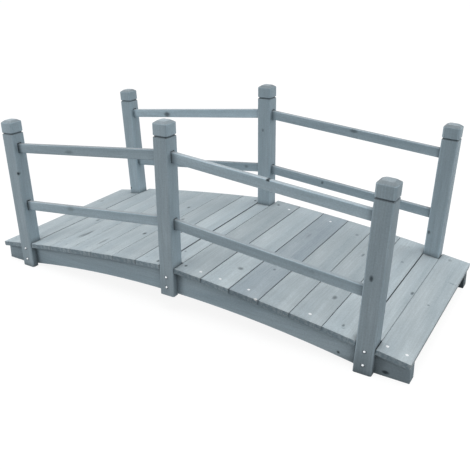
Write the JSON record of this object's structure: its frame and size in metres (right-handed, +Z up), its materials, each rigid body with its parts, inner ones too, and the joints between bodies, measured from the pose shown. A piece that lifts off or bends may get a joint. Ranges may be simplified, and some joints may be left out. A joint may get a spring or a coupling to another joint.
{
  "type": "garden footbridge",
  "caption": "Arched wooden garden footbridge: a plank deck on arched side stringers, with capped posts and housed rails along both sides.",
  "frame": {"origin": "on the level ground, midway between the ends and between the two rows of posts", "axes": "+X along the bridge, +Y across it, +Z up; the front side is at -Y"},
  "size_m": [1.5018, 0.6861, 0.604],
  "materials": {
    "deck_boards": "blue-grey wood stain over sawn and planed fir, matt, with the grain and knots showing",
    "posts": "blue-grey wood stain over sawn and planed fir, matt, with the grain and knots showing",
    "rails": "blue-grey wood stain over sawn and planed fir, matt, with the grain and knots showing",
    "stringers": "blue-grey wood stain over sawn and planed fir, matt, with the grain and knots showing",
    "fasteners": "bright zinc plating on domed bolt heads and deck nails"
  },
  "bodies": {
    "root": {"deck_board_01": "deck_boards", "deck_board_02": "deck_boards", "deck_board_03": "deck_boards", "deck_board_04": "deck_boards", "deck_board_05": "deck_boards", "deck_board_06": "deck_boards", "deck_board_07": "deck_boards", "deck_board_08": "deck_boards", "deck_board_09": "deck_boards", "deck_board_10": "deck_boards", "deck_board_11": "deck_boards", "deck_board_12": "deck_boards", "deck_board_13": "deck_boards", "deck_board_14": "deck_boards", "deck_board_15": "deck_boards", "deck_board_16": "deck_boards", "deck_board_17": "deck_boards", "post_back_left": "posts", "post_back_middle": "posts", "post_back_right": "posts", "post_front_left": "posts", "post_front_middle": "posts", "post_front_right": "posts", "rail_back_left_lower": "rails", "rail_back_left_upper": "rails", "rail_back_right_lower": "rails", "rail_back_right_upper": "rails", "rail_front_left_lower": "rails", "rail_front_left_upper": "rails", "rail_front_right_lower": "rails", "rail_front_right_upper": "rails", "stringer_back": "stringers", "stringer_front": "stringers"}
  },
  "joints": []
}
